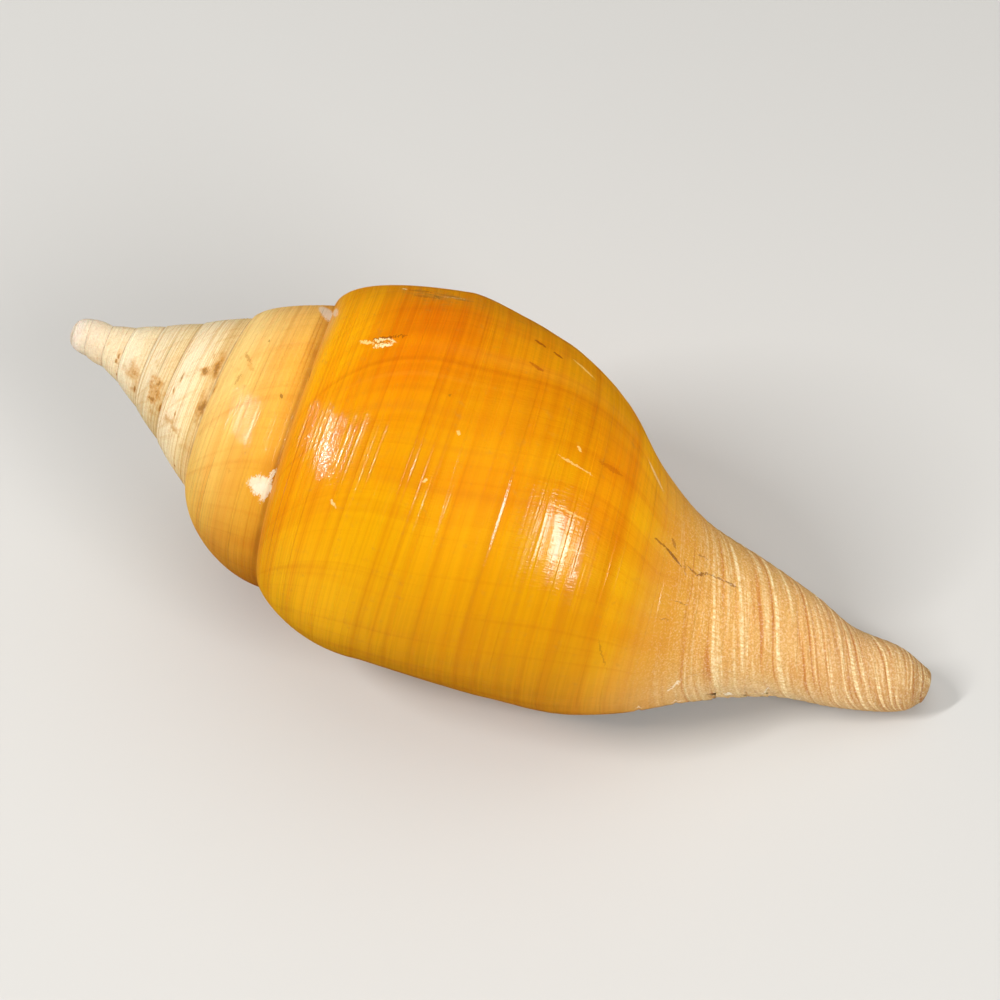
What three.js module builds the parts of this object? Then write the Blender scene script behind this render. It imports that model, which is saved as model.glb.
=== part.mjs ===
import * as THREE from 'three';

// A right-handed sea shell lying on its mouth: a pale pointed spire, one big swollen last whorl, a wide
// mouth with three folds on its inner wall, and a long ribbed canal.
//
// Lengths are in millimetres. The shell is worked out around its coil axis: depth runs along the axis
// from the apex to the end of the canal, radius is measured from the axis, and every angle is in turns
// of the coil, with 0 at the lip. A growth line is the edge that the lip once had, so one growth line
// gives a column of points, and equal places on all growth lines give a row.

const { clamp, lerp, smoothstep } = THREE.MathUtils;
const TURN = 2 * Math.PI;

// Size of the whole shell and its count of whorls
const SHELL_LENGTH = 120;
const WHORLS = 9;

// The spire: each turn is GROWTH times as large as the one before it, down to a small round apex
const GROWTH = 1.44;
const SPIRE_DEPTH = 28.66;
const SPIRE_FLARE = 0.2937;
const SPIRE_POWER = 1.2;
const SPIRE_STRETCH = 0.1;
const STRETCH_ENDS = [-3.3, -1.2];
const APEX_HEIGHT = 1.9;
const APEX_RADIUS = 2.3;
const APEX_EASE = 2.6;

// The seam's plane is not quite square to the axis: it leans to the lip's side and tilts to the front,
// both less on the last whorl. Near the lip the seam drops. Each change runs over the turns given
const SEAM_LEAN = [0.08, 0.045];
const LEAN_CHANGE = [-1, -0.5];
const SEAM_TILT = [0.055, 0.025];
const TILT_CHANGE = [-1.4, -0.9];
const SEAM_DROP = 3.4;
const DROP_TURNS = [-0.6, 0.15];

// How each whorl swells out of the seam above it: flat on the spire, round on the last whorl
const FLAT_POWERS = { depth: 1.15, radius: 0.96 };
const ROUND_POWERS = { depth: 1.6, radius: 0.76 };
const ROUNDING_TURNS = [-2, -1];
const SHOULDER_SWELL = 0.6;
const SHOULDER_RELEASE = 0.2;

// Growth lines run round the coil by this much: ahead at the seam, behind at the canal
const LEAD_AT_SEAM = 0.085;
const LEAD_AT_CANAL = -0.03;
const LEAD_END = 2.2;

// Outlines of the last whorl as [depth, radius], from its widest line to the end of the canal:
// along the inner wall of the mouth, on the far side of the shell, and along the lip
const INNER_OUTLINE = [
  [36.3, 20.8], [42.6, 20.1], [49.7, 17.3], [57.4, 12.6], [65.2, 8.5],
  [73.6, 6.2], [83.9, 4.6], [93.5, 2.9], [103.0, 1.8], [112.0, 1.1], [118.6, 0.6],
];
const SIDE_OUTLINE = [
  [45.2, 25.4], [51.6, 25.4], [60.0, 24.35], [68.4, 20.9], [76.2, 15.05],
  [83.9, 11.3], [93.3, 9.55], [101.0, 7.6], [107.2, 5.35], [114.0, 4.7], [118.5, 3.0],
];
const LIP_OUTLINE = [
  [51.6, 23.5], [60.7, 22.3], [70.3, 20.75], [78.1, 19.1], [85.8, 15.6],
  [93.2, 10.9], [102.4, 6.3], [110.4, 5.05], [115.6, 4.1], [118.4, 2.9], [119.6, 1.4],
];
const OUTLINE_STEP = 0.25;
const LAST_STATION = SIDE_OUTLINE.length - 1;
const CANAL_END = 1 + OUTLINE_STEP * LAST_STATION;
const TIP_ROUNDING = 0.2;

// The canal curves away from the axis, and the apex stands a little beside it
const CANAL_BEND = 0.00225;
const CANAL_BEND_START = 83.9;
const APEX_SHIFT = 0.28;
const APEX_SHIFT_DEPTHS = [3, 10];

// Raised cords on the canal: their pitch and the places between which they rise and fade
const CORD_PITCH = 0.06;
const CORD_HEIGHT = 0.45;
const CORDS_RISE = [2.05, 2.35];
const CORDS_FADE = [3.2, CANAL_END];
const CORDS_CLEAR_OF_MOUTH = 0.15;

// The mouth: wall thickness at the lip and deep inside, and how far the hollow runs round the coil
const LIP_THICKNESS = 1.2;
const WALL_THICKNESS = 2.5;
const WALL_THICKENS_OVER = 0.15;
const LEAST_HOLLOW = 0.3;
const MOUTH_TURNS = 0.62;
const MOUTH_FLOOR_DEPTH = 88;
const CANAL_CLOSING_TURNS = 0.06;
const MOUTH_TOP_ROUNDING = 0.12;
const MOUTH_END_ROUNDING = 0.1;
const CANAL_MOUTH_ROUNDING = 0.02;
const ROUNDING_GROWS_OVER = 0.1;

// Three slanting folds on the inner wall of the mouth
const FOLD_DEPTHS = [61.5, 67.5, 73.5];
const FOLD_HEIGHT = 1.4;
const FOLD_HALF_WIDTH = 1.5;
const FOLD_FADE_TURNS = 0.07;

// Resting on the lip, the body and the end of the canal: roll about the coil axis, then pitch, in degrees
const REST_ROLL = 33.24;
const REST_PITCH = 17.39;

// How finely the surface is divided. The mouth's columns stand closer near the lip by their power
const COLUMNS = 30;
const SEAM_ROWS = 5;
const BODY_ROWS = 10;
const CANAL_ROWS = 50;
const MOUTH_COLUMNS = 10;
const MOUTH_COLUMN_POWER = 1.5;

const SEAM_ROW = SEAM_ROWS;
const WALL_ROW = SEAM_ROW + 1;
const END_ROW = SEAM_ROWS + BODY_ROWS + CANAL_ROWS;
const LAST_COLUMN = WHORLS * COLUMNS;
const LAST_WHORL = LAST_COLUMN - COLUMNS;

const between = (value, [low, high]) => smoothstep(value, low, high);
const mixPoint = (p, q, f) => ({ depth: lerp(p.depth, q.depth, f), radius: lerp(p.radius, q.radius, f) });

// Place of a row on its growth line: 0 at the seam above, 1 at the seam below or the widest line
function rowPlace(row) {
  if (row <= SEAM_ROWS) {
    return row / SEAM_ROWS;
  }
  if (row <= SEAM_ROWS + BODY_ROWS) {
    return 1 + (row - SEAM_ROWS) / BODY_ROWS;
  }
  return 2 + (row - SEAM_ROWS - BODY_ROWS) * (CANAL_END - 2) / CANAL_ROWS;
}

const lead = (place) => lerp(LEAD_AT_SEAM, LEAD_AT_CANAL, smoothstep(place, 1, LEAD_END));

// The seam between whorls, which is also the outline of the spire
function seam(angle) {
  const begin = LEAD_AT_SEAM - WHORLS;
  const ease = 1 - Math.exp(-(((angle - begin) / APEX_EASE) ** 3));
  const stretch = 1 + SPIRE_STRETCH * (1 - between(angle, STRETCH_ENDS));
  const grown = SPIRE_DEPTH * GROWTH ** (angle + 0.5) * ease * stretch;
  const cone = SPIRE_FLARE * grown ** SPIRE_POWER;
  const fromTop = 1 - Math.min(grown, APEX_HEIGHT) / APEX_HEIGHT;
  const dome = APEX_RADIUS * Math.sqrt(1 - fromTop ** 2);
  const lean = lerp(...SEAM_LEAN, between(angle, LEAN_CHANGE)) * Math.cos(TURN * angle);
  const tilt = lerp(...SEAM_TILT, between(angle, TILT_CHANGE)) * Math.sin(TURN * angle);
  return {
    depth: grown + SEAM_DROP * between(angle, DROP_TURNS) + cone * (tilt - lean),
    radius: (cone ** 4 + dome ** 4) ** 0.25,
  };
}

// One station of the last whorl, through the three outlines
function station(angle, index) {
  const side = 2 * angle + 1;
  const weights = [side * (side - 1) / 2, 1 - side * side, side * (side + 1) / 2];
  const points = [INNER_OUTLINE[index], SIDE_OUTLINE[index], LIP_OUTLINE[index]];
  const sum = (k) => points.reduce((total, point, i) => total + weights[i] * point[k], 0);
  return { depth: sum(0), radius: sum(1) };
}

// The lower edge of the part that swells out of the seam: the seam below, or the widest line
function shoulderFoot(angle) {
  const leavesSeam = LEAD_AT_SEAM - 1;
  const free = smoothstep(angle, leavesSeam, leavesSeam + SHOULDER_RELEASE);
  return mixPoint(seam(angle + 1), station(angle, 0), free);
}

// The swell is highest two thirds down, where 27/4 times this product of places is 1
function shoulder(angle, place) {
  const top = seam(angle);
  const foot = shoulderFoot(angle);
  const round = between(angle, ROUNDING_TURNS);
  const depthPower = lerp(FLAT_POWERS.depth, ROUND_POWERS.depth, round);
  const radiusPower = lerp(FLAT_POWERS.radius, ROUND_POWERS.radius, round);
  const swell = SHOULDER_SWELL * (1 + Math.cos(TURN * angle)) * round * 27 / 4 * place ** 2 * (1 - place);
  return {
    depth: lerp(top.depth, foot.depth, place ** depthPower),
    radius: lerp(top.radius, foot.radius, place ** radiusPower) + swell,
  };
}

// Points that the curve of a growth line passes through, with one more past each end
function control(angle, index) {
  if (index < 0) {
    return shoulder(angle, 1 - OUTLINE_STEP);
  }
  if (index === 0) {
    return shoulderFoot(angle);
  }
  if (index > LAST_STATION) {
    return mixPoint(station(angle, LAST_STATION - 1), station(angle, LAST_STATION), 2);
  }
  return station(angle, index);
}

// A smooth curve through the stations
function body(angle, place) {
  const along = (place - 1) / OUTLINE_STEP;
  const index = clamp(Math.floor(along), 0, LAST_STATION - 1);
  const f = along - index;
  const [p, q, r, s] = [-1, 0, 1, 2].map((offset) => control(angle, index + offset));
  const blend = (k) => 0.5 * (2 * q[k] + (r[k] - p[k]) * f + (2 * p[k] - 5 * q[k] + 4 * r[k] - s[k]) * f ** 2
    + (3 * q[k] - p[k] - 3 * r[k] + s[k]) * f ** 3);
  return { depth: blend('depth'), radius: blend('radius') };
}

// The raised cords of the canal, which start clear of the mouth's inner wall
function cordHeight(turn, place) {
  const strength = between(place, CORDS_RISE) * (1 - between(place, CORDS_FADE))
    * smoothstep(turn, -1, -1 + CORDS_CLEAR_OF_MOUTH);
  return CORD_HEIGHT * strength * 0.5 * Math.cos(TURN * (place - 2) / CORD_PITCH);
}

// The folds where they come out of the mouth
function foldHeight(turn, depth) {
  const one = (at) => Math.max(0, 1 - ((depth - at) / FOLD_HALF_WIDTH) ** 2);
  const all = FOLD_DEPTHS.reduce((total, at) => total + one(at), 0);
  return FOLD_HEIGHT * all * (1 - smoothstep(turn, -1, -1 + FOLD_FADE_TURNS));
}

// The outside of the shell at one growth line and place
function outside(turn, place) {
  const angle = turn + lead(place);
  const point = place <= 1 ? shoulder(angle, place) : body(angle, place);
  const raised = place > 1 ? cordHeight(turn, place) + foldHeight(turn, point.depth) : 0;
  return { depth: point.depth, radius: point.radius + raised, angle };
}

// A growth line as a list that can be read by depth
function growthLine(turn, fromPlace) {
  const points = [];
  for (let row = 0; row <= END_ROW; row += 1) {
    if (rowPlace(row) >= fromPlace) {
      const { depth, radius, angle } = outside(turn, rowPlace(row));
      points.push({ depth, radius, lead: angle - turn });
    }
  }
  return (depth) => {
    const after = points.findIndex((point) => point.depth >= depth);
    if (after <= 0) {
      return after === 0 ? points[0] : points[points.length - 1];
    }
    const [p, q] = [points[after - 1], points[after]];
    const f = (depth - p.depth) / (q.depth - p.depth);
    return { ...mixPoint(p, q, f), lead: lerp(p.lead, q.lead, f) };
  };
}

const innerWall = growthLine(-1, 1);

// The mouth's inner wall, so many turns inside: the inner outline again, smaller by the growth
function innerPoint(inward, depth) {
  const scale = GROWTH ** -inward;
  const point = innerWall(depth / scale);
  return { depth, radius: point.radius * scale, angle: point.lead - 1 - inward };
}

function mouthEnds(inward) {
  const scale = GROWTH ** -inward;
  const closed = 1 - Math.exp(-inward / CANAL_CLOSING_TURNS);
  const top = outside(-1, rowPlace(WALL_ROW)).depth;
  const end = outside(-1, CANAL_END).depth;
  return { top: top * scale, end: lerp(end, MOUTH_FLOOR_DEPTH, closed) * scale };
}

// How far the hollow reaches from the inner wall to the outer one: 0 at its ends, 1 between them
function hollowReach(inward, along) {
  const grown = smoothstep(inward, 0, ROUNDING_GROWS_OVER);
  const rounding = lerp(CANAL_MOUTH_ROUNDING, MOUTH_END_ROUNDING, grown);
  const fromTop = 1 - clamp(along / MOUTH_TOP_ROUNDING, 0, 1);
  const fromEnd = 1 - clamp((1 - along) / rounding, 0, 1);
  return Math.sqrt(1 - fromTop ** 2) * Math.sqrt(1 - fromEnd ** 2);
}

// A point on the hollow's outer wall, which meets the inner wall at both ends
function roofPoint(inward, depth, along, outerLine) {
  const thickness = lerp(LIP_THICKNESS, WALL_THICKNESS, smoothstep(inward, 0, WALL_THICKENS_OVER));
  const near = innerPoint(inward, depth);
  const far = outerLine(depth);
  const reach = hollowReach(inward, along);
  return {
    depth,
    radius: near.radius + Math.max(LEAST_HOLLOW, far.radius - thickness - near.radius) * reach,
    angle: lerp(near.angle + 1, far.lead - inward, reach),
  };
}

const vertices = [];
const triangles = [];

function addVertex({ depth, radius, angle }) {
  const bend = CANAL_BEND * Math.max(0, depth - CANAL_BEND_START) ** 2;
  const shift = APEX_SHIFT * (1 - between(depth, APEX_SHIFT_DEPTHS));
  const across = -radius * Math.cos(TURN * angle) + bend - shift;
  vertices.push(depth, across, -radius * Math.sin(TURN * angle));
  return vertices.length / 3 - 1;
}

function addQuad(a, b, c, d) {
  triangles.push(a, b, c, a, c, d);
}

// Outer surface. Above the last whorl the lowest row of a column is the seam row of the next turn
const lastRow = (column) => (column >= LAST_WHORL ? END_ROW : SEAM_ROW);
const outer = [];
for (let column = LAST_COLUMN; column >= 0; column -= 1) {
  outer[column] = [];
  for (let row = 0; row <= lastRow(column); row += 1) {
    if (row === SEAM_ROW && column <= LAST_WHORL) {
      outer[column].push(outer[column + COLUMNS][0]);
    } else {
      outer[column].push(addVertex(outside(column / COLUMNS - WHORLS, rowPlace(row))));
    }
  }
}
for (let column = 0; column < LAST_COLUMN; column += 1) {
  const [near, far] = [outer[column], outer[column + 1]];
  for (let row = 0; row < lastRow(column); row += 1) {
    addQuad(near[row], far[row], far[row + 1], near[row + 1]);
  }
}

// Apex
const apex = outer[0][0];
for (let row = 1; row < SEAM_ROWS; row += 1) {
  triangles.push(apex, outer[0][row], outer[0][row + 1]);
}
for (let column = 1; column < COLUMNS; column += 1) {
  triangles.push(apex, outer[column + 1][0], outer[column][0]);
}

// End of the canal
const tip = addVertex({ depth: SHELL_LENGTH - TIP_ROUNDING, radius: 0, angle: 0 });
for (let column = LAST_WHORL; column < LAST_COLUMN; column += 1) {
  triangles.push(tip, outer[column][END_ROW], outer[column + 1][END_ROW]);
}
triangles.push(tip, outer[LAST_COLUMN][END_ROW], outer[LAST_WHORL][END_ROW]);

// Each row's share of the way down the mouth, on the lip and on the inner wall
function rowShares(turn, firstRow) {
  const depths = [];
  for (let row = firstRow; row <= END_ROW; row += 1) {
    depths[row] = outside(turn, rowPlace(row)).depth;
  }
  return depths.map((depth) => (depth - depths[firstRow]) / (depths[END_ROW] - depths[firstRow]));
}

// The mouth: an inner wall that carries on from the last whorl's first growth line, and an outer wall
// one thickness inside the shell's outside
const lipShares = rowShares(0, 0);
const wallShares = rowShares(-1, WALL_ROW);
const inner = [outer[LAST_WHORL]];
const roof = [];
for (let step = 0; step <= MOUTH_COLUMNS; step += 1) {
  const inward = MOUTH_TURNS * (step / MOUTH_COLUMNS) ** MOUTH_COLUMN_POWER;
  const { top, end } = mouthEnds(inward);
  if (step > 0) {
    inner[step] = [];
    for (let row = WALL_ROW; row <= END_ROW; row += 1) {
      inner[step][row] = addVertex(innerPoint(inward, lerp(top, end, wallShares[row])));
    }
  }
  const outerLine = growthLine(-inward, 0);
  roof[step] = [inner[step][WALL_ROW]];
  for (let row = 1; row < END_ROW; row += 1) {
    const depth = lerp(top, end, lipShares[row]);
    roof[step].push(addVertex(roofPoint(inward, depth, lipShares[row], outerLine)));
  }
  roof[step].push(inner[step][END_ROW]);
}
for (let step = 0; step < MOUTH_COLUMNS; step += 1) {
  for (let row = WALL_ROW; row < END_ROW; row += 1) {
    addQuad(inner[step + 1][row], inner[step][row], inner[step][row + 1], inner[step + 1][row + 1]);
  }
  for (let row = 0; row < END_ROW; row += 1) {
    addQuad(roof[step][row + 1], roof[step][row], roof[step + 1][row], roof[step + 1][row + 1]);
  }
}

// The lip's edge
const lip = outer[LAST_COLUMN];
for (let row = 0; row < END_ROW; row += 1) {
  addQuad(lip[row + 1], lip[row], roof[0][row], roof[0][row + 1]);
}

// The far end of the hollow, closed to a point in its middle
const backEnds = mouthEnds(MOUTH_TURNS);
const backDepth = (backEnds.top + backEnds.end) / 2;
const backNear = innerPoint(MOUTH_TURNS, backDepth);
const backFar = growthLine(-MOUTH_TURNS, 0)(backDepth);
const centre = addVertex({
  depth: backDepth,
  radius: (backNear.radius + backFar.radius - WALL_THICKNESS) / 2,
  angle: backNear.angle,
});
for (let row = 0; row < END_ROW; row += 1) {
  triangles.push(centre, roof[MOUTH_COLUMNS][row + 1], roof[MOUTH_COLUMNS][row]);
}
for (let row = WALL_ROW; row < END_ROW; row += 1) {
  triangles.push(centre, inner[MOUTH_COLUMNS][row], inner[MOUTH_COLUMNS][row + 1]);
}

const geometry = new THREE.BufferGeometry();
geometry.setAttribute('position', new THREE.Float32BufferAttribute(vertices, 3));
geometry.setIndex(triangles);
geometry.computeVertexNormals();

const shell = new THREE.Mesh(
  geometry,
  new THREE.MeshStandardMaterial({ color: 0xe0952e, roughness: 0.32, metalness: 0 }),
);
shell.name = 'shell';

// The origin is under the middle of the shell, on the surface that it lies on
shell.rotation.set(REST_ROLL * THREE.MathUtils.DEG2RAD, REST_PITCH * THREE.MathUtils.DEG2RAD, 0, 'YXZ');
const box = new THREE.Box3().setFromObject(shell, true);
const middle = box.getCenter(new THREE.Vector3());
shell.position.set(-middle.x, -middle.y, -box.min.z);

const group = new THREE.Group();
group.add(shell);

export default group;
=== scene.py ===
import math
from functools import partial

import bpy
import numpy as np
from mathutils import Matrix, Vector


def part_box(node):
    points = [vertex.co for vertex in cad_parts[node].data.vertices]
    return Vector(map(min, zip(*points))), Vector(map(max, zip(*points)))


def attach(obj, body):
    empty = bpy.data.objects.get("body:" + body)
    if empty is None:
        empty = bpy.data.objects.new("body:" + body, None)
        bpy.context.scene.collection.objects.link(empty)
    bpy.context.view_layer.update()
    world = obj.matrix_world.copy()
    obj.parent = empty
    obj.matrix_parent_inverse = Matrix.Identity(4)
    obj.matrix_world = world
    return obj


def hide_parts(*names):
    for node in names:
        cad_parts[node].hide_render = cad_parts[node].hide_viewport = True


# A right-handed sea shell lying on its mouth. Its surface follows the same growth formulas as the solid
# part, with the fine threads, cords, seams, chips and scars that the solid leaves out.
#
# Shapes are worked out in millimetres around the coil axis. "turn" counts turns of growth, 0 at the lip
# and less than 0 towards the apex. "place" runs along a growth line, 0 at the seam above, 1 at the seam
# below or the widest line, and 3.5 at the end of the canal.
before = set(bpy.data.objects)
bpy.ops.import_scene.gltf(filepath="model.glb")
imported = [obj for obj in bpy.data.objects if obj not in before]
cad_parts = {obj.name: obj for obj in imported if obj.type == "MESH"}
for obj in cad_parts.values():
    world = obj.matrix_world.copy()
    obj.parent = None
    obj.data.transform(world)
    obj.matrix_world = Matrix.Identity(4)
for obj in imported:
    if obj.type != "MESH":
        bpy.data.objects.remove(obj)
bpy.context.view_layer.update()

MM = 0.001
TURN = 2 * math.pi

# Whorls and spire
WHORLS = 9
GROWTH = 1.44
SPIRE_DEPTH = 28.66
SPIRE_FLARE = 0.2937
SPIRE_POWER = 1.2
SPIRE_STRETCH = 0.1
STRETCH_ENDS = (-3.3, -1.2)
APEX_HEIGHT = 1.9
APEX_RADIUS = 2.3
APEX_EASE = 2.6
SEAM_LEAN = (0.08, 0.045)
LEAN_CHANGE = (-1, -0.5)
SEAM_TILT = (0.055, 0.025)
TILT_CHANGE = (-1.4, -0.9)
SEAM_DROP = 3.4
DROP_TURNS = (-0.6, 0.15)

# How each whorl swells out of the seam above it: flat on the spire, round on the last whorl
DEPTH_POWERS = (1.15, 1.6)
RADIUS_POWERS = (0.96, 0.76)
ROUNDING_TURNS = (-2, -1)
SHOULDER_SWELL = 0.6
SHOULDER_RELEASE = 0.2

# How far growth lines run round the coil: ahead at the seam, behind at the canal
LEAD_AT_SEAM = 0.085
LEAD_AT_CANAL = -0.03
LEAD_END = 2.2

# Outlines of the last whorl as [depth, radius], from its widest line to the end of the canal:
# along the inner wall of the mouth, on the far side of the shell, and along the lip
INNER_OUTLINE = np.array([
    [36.3, 20.8], [42.6, 20.1], [49.7, 17.3], [57.4, 12.6], [65.2, 8.5],
    [73.6, 6.2], [83.9, 4.6], [93.5, 2.9], [103.0, 1.8], [112.0, 1.1], [118.6, 0.6],
])
SIDE_OUTLINE = np.array([
    [45.2, 25.4], [51.6, 25.4], [60.0, 24.35], [68.4, 20.9], [76.2, 15.05],
    [83.9, 11.3], [93.3, 9.55], [101.0, 7.6], [107.2, 5.35], [114.0, 4.7], [118.5, 3.0],
])
LIP_OUTLINE = np.array([
    [51.6, 23.5], [60.7, 22.3], [70.3, 20.75], [78.1, 19.1], [85.8, 15.6],
    [93.2, 10.9], [102.4, 6.3], [110.4, 5.05], [115.6, 4.1], [118.4, 2.9], [119.6, 1.4],
])
OUTLINE_STEP = 0.25
LAST_STATION = len(SIDE_OUTLINE) - 1
CANAL_END = 1 + OUTLINE_STEP * LAST_STATION
TIP_DEPTH = 119.8

# The canal curves away from the axis, and the apex stands a little beside it
CANAL_BEND = 0.00225
CANAL_BEND_START = 83.9
APEX_SHIFT = 0.28
APEX_SHIFT_DEPTHS = (3, 10)

# The mouth. The lip bulges forward by a share of its thickness, but not on the rows at its ends
LIP_THICKNESS = 1.2
LIP_BULGE = 0.45
LIP_END_ROWS = 8
WALL_THICKNESS = 2.5
WALL_THICKENS_OVER = 0.15
LEAST_HOLLOW = 0.3
MOUTH_TURNS = 0.62
MOUTH_FLOOR_DEPTH = 88
MOUTH_START = 1.1
CANAL_CLOSING_TURNS = 0.06
MOUTH_TOP_ROUNDING = 0.12
MOUTH_END_ROUNDING = (0.02, 0.1)
ROUNDING_GROWS_OVER = 0.1
FOLD_DEPTHS = (61.5, 67.5, 73.5)
FOLD_HEIGHT = 1.4
FOLD_HALF_WIDTH = 1.5
FOLD_FADE_TURNS = 0.07

# Fine relief, in millimetres high, with the places or turns between which it rises and fades. A size is
# the radius from which the relief is at its full height, and the least share of that height.
# Threads are counted between two seams
THREADS_PER_WHORL = 16
THREAD_HEIGHT = 0.06
THREAD_SIZE = (12, 0.25)
THREADS_RISE = (0.03, 0.1)
THREADS_FADE = (0.9, 0.98)
THREADS_END = (-2.2, -1.3)
CORD_PITCH = 0.048
CORD_DRIFT = 0.27
CORD_HEIGHT = 0.065
CORD_SIZE = (8, 0.45)
CORDS_START = (-1, -0.85)
CORDS_RISE = (1.96, 2.3)
CORDS_FADE = (3.3, 3.5)
BEAD_HEIGHT = 0.25
BEAD_PITCHES = (0.0093, 0.0131, 0.0217)
SEAM_RIDGE_HEIGHT = 0.12
SEAM_RIDGE_SIZE = (10, 0.2)
SEAM_RIDGE_PLACES = (0, 0.03, 0.14)
SEAM_RIDGE_START = (-6, -5)
APEX_ROUNDING = 0.16
APEX_ROUNDING_END = (-6.3, -5.3)
WAVE_HEIGHT = 0.09
WAVE_SIZE = (20, 0)
WAVE_PITCHES = (0.031, 0.047, 0.083, 0.117)
WAVES_RISE = (0.02, 0.2)
WAVES_FADE = (3.2, CANAL_END)
WAVES_NEAR_SEAM = (0.85, 1)
WAVES_LEAVE_SEAM = (-1, -0.9)
WAVES_END = 0.02

# Chips along the lip: place, half the width in places, and how far back the edge is broken, in turns
LIP_CHIPS = (
    (2.335, 0.02, 0.05), (2.37, 0.012, 0.012), (2.425, 0.01, 0.035), (2.505, 0.018, 0.06),
    (2.188, 0.012, 0.012), (2.045, 0.012, 0.012), (2.62, 0.01, 0.012), (1.42, 0.02, 0.004),
    (2.8, 0.012, 0.012),
)
CHIP_EDGE_PITCH = 0.013
CHIP_FADES_OVER = 0.13
LIP_WAVE = 0.0016
LIP_WAVE_PITCHES = (0.043, 0.067, 0.11, 0.29)
LIP_WEAR_RISES = (0.3, 1)
LIP_WEAR_FADES = (3.1, 3.4)

# Resting on the lip, the body and the end of the canal
REST_ROLL = math.radians(33.24)
REST_PITCH = math.radians(17.39)

# How finely each sheet of the surface is divided. All sheets share the rows of the last whorl
COLUMNS = 96
SHOULDER_ROWS = 48
BODY_ROWS = 120
CANAL_ROWS = 180
BODY_END = 2.2
MOUTH_COLUMNS = 20
CAP_ROWS = 6
MERGE_WITHIN = 0.0005 * MM


def mix(low, high, share):
    return low + (high - low) * share


def smoothstep(value, low, high):
    share = np.clip((value - low) / (high - low), 0, 1)
    return share * share * (3 - 2 * share)


def lead(place):
    return mix(LEAD_AT_SEAM, LEAD_AT_CANAL, smoothstep(place, 1, LEAD_END))


def seam(angle):
    """The seam between whorls, as (depth, radius)."""
    begin = LEAD_AT_SEAM - WHORLS
    ease = 1 - np.exp(-np.maximum(0, (angle - begin) / APEX_EASE) ** 3)
    stretch = 1 + SPIRE_STRETCH * (1 - smoothstep(angle, *STRETCH_ENDS))
    grown = SPIRE_DEPTH * GROWTH ** (angle + 0.5) * ease * stretch
    cone = SPIRE_FLARE * grown ** SPIRE_POWER
    from_top = 1 - np.minimum(grown, APEX_HEIGHT) / APEX_HEIGHT
    apex = APEX_RADIUS * np.sqrt(1 - from_top ** 2)
    lean = mix(*SEAM_LEAN, smoothstep(angle, *LEAN_CHANGE)) * np.cos(TURN * angle)
    tilt = mix(*SEAM_TILT, smoothstep(angle, *TILT_CHANGE)) * np.sin(TURN * angle)
    drop = SEAM_DROP * smoothstep(angle, *DROP_TURNS)
    return grown + drop + cone * (tilt - lean), (cone ** 4 + apex ** 4) ** 0.25


def station(angle, index):
    """A point of the last whorl, through the three outlines."""
    side = 2 * angle + 1
    weights = (side * (side - 1) / 2, 1 - side * side, side * (side + 1) / 2)
    outlines = (INNER_OUTLINE, SIDE_OUTLINE, LIP_OUTLINE)
    return tuple(sum(w * outline[index, k] for w, outline in zip(weights, outlines)) for k in (0, 1))


def shoulder_foot(angle):
    leaves_seam = LEAD_AT_SEAM - 1
    free = smoothstep(angle, leaves_seam, leaves_seam + SHOULDER_RELEASE)
    return tuple(mix(a, b, free) for a, b in zip(seam(angle + 1), station(angle, 0)))


def shoulder(angle, place):
    """The swell is highest two thirds down, where 27/4 times the product of places is 1."""
    top, foot = seam(angle), shoulder_foot(angle)
    late = smoothstep(angle, *ROUNDING_TURNS)
    swell = SHOULDER_SWELL * (1 + np.cos(TURN * angle)) * late * 27 / 4 * place ** 2 * (1 - place)
    depth = mix(top[0], foot[0], place ** mix(*DEPTH_POWERS, late))
    return depth, mix(top[1], foot[1], place ** mix(*RADIUS_POWERS, late)) + swell


def control(angle, index):
    """Points that the curve of a growth line passes through, with one more past each end."""
    inside = np.clip(index, 0, LAST_STATION)
    before = shoulder(angle, 1 - OUTLINE_STEP)
    foot = shoulder_foot(angle)
    last = station(angle, np.full_like(inside, LAST_STATION))
    earlier = station(angle, np.full_like(inside, LAST_STATION - 1))
    here = station(angle, inside)
    found = []
    for k in (0, 1):
        value = np.where(index > LAST_STATION, 2 * last[k] - earlier[k], here[k])
        value = np.where(index == 0, foot[k], value)
        found.append(np.where(index < 0, before[k], value))
    return found


def body(angle, place):
    """A smooth curve through the stations."""
    along = (place - 1) / OUTLINE_STEP
    index = np.clip(np.floor(along).astype(int), 0, LAST_STATION - 1)
    f = along - index
    points = [control(angle, index + offset) for offset in (-1, 0, 1, 2)]
    blended = []
    for p, q, r, s in zip(*points):
        curve = (2 * p - 5 * q + 4 * r - s) * f ** 2 + (3 * q - p - 3 * r + s) * f ** 3
        blended.append(0.5 * (2 * q + (r - p) * f + curve))
    return tuple(blended)


def fold_height(turn, depth):
    """The folds of the inner wall, where they come out of the mouth."""
    all_folds = sum(np.maximum(0, 1 - ((depth - at) / FOLD_HALF_WIDTH) ** 2) for at in FOLD_DEPTHS)
    return FOLD_HEIGHT * all_folds * (1 - smoothstep(turn, -1, -1 + FOLD_FADE_TURNS))


def smooth_outside(turn, place):
    """The outside without its fine relief, as (depth, radius, angle)."""
    angle = turn + lead(place)
    upper = shoulder(angle, np.minimum(place, 1))
    lower = body(angle, np.maximum(place, 1))
    depth = np.where(place <= 1, upper[0], lower[0])
    radius = np.where(place <= 1, upper[1], lower[1])
    folds = np.where(place > 1, fold_height(turn, depth), 0)
    return depth, radius + folds, angle


def waves(value, pitches):
    """Uneven waves between -1 and 1, made of a few sines that never repeat together."""
    return sum(np.sin(TURN * value / pitch + 7 * k) for k, pitch in enumerate(pitches)) / len(pitches)


def size_share(radius, full, least):
    return np.clip(radius / full, least, 1)


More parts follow.
